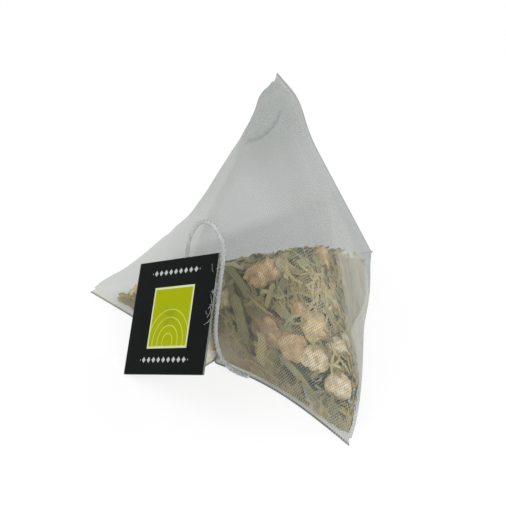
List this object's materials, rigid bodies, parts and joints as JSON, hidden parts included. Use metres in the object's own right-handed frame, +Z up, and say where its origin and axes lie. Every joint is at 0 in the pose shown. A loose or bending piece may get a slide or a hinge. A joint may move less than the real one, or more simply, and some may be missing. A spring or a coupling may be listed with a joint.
{
  "type": "pyramid tea bag",
  "caption": "Four-sided tea bag of fine woven mesh, filled with ginger dice and cut lemongrass, with a card tag on a cotton thread.",
  "frame": {"origin": "on the floor at the middle of the resting face, which is the face's centroid", "axes": "+Z up out of the resting face, +X along the front weld to the right seen from the tag, +Y from the front weld to the far corner"},
  "size_m": [0.068, 0.0712, 0.0549],
  "materials": {
    "nylon_mesh": "fine translucent woven nylon, faint sheen",
    "cut_leaf": "finely cut dry leaf, matt",
    "tag_card": "black card with a lime printed panel, satin",
    "cotton_thread": "twisted off-white cotton, matt",
    "dried_ginger": "dried root, matt and fibrous",
    "lemongrass": "dry straw, matt"
  },
  "bodies": {
    "root": {"mesh_pouch": "nylon_mesh", "herb_core": "cut_leaf", "tag": "tag_card", "thread": "cotton_thread", "ginger_01": "dried_ginger", "ginger_02": "dried_ginger", "ginger_03": "dried_ginger", "ginger_04": "dried_ginger", "ginger_05": "dried_ginger", "ginger_06": "dried_ginger", "ginger_07": "dried_ginger", "ginger_08": "dried_ginger", "ginger_09": "dried_ginger", "ginger_10": "dried_ginger", "ginger_11": "dried_ginger", "ginger_12": "dried_ginger", "ginger_13": "dried_ginger", "ginger_14": "dried_ginger", "ginger_15": "dried_ginger", "ginger_16": "dried_ginger", "ginger_17": "dried_ginger", "ginger_18": "dried_ginger", "lemongrass_01": "lemongrass", "lemongrass_02": "lemongrass", "lemongrass_03": "lemongrass", "lemongrass_04": "lemongrass", "lemongrass_05": "lemongrass", "lemongrass_06": "lemongrass", "lemongrass_07": "lemongrass", "lemongrass_08": "lemongrass", "lemongrass_09": "lemongrass", "lemongrass_10": "lemongrass", "lemongrass_11": "lemongrass", "lemongrass_12": "lemongrass", "lemongrass_13": "lemongrass", "lemongrass_14": "lemongrass", "lemongrass_15": "lemongrass", "lemongrass_16": "lemongrass", "lemongrass_17": "lemongrass", "lemongrass_18": "lemongrass", "lemongrass_19": "lemongrass", "lemongrass_20": "lemongrass", "lemongrass_21": "lemongrass", "lemongrass_22": "lemongrass", "lemongrass_23": "lemongrass", "lemongrass_24": "lemongrass", "lemongrass_25": "lemongrass", "lemongrass_26": "lemongrass", "lemongrass_27": "lemongrass", "lemongrass_28": "lemongrass", "lemongrass_29": "lemongrass", "lemongrass_30": "lemongrass"}
  },
  "joints": []
}
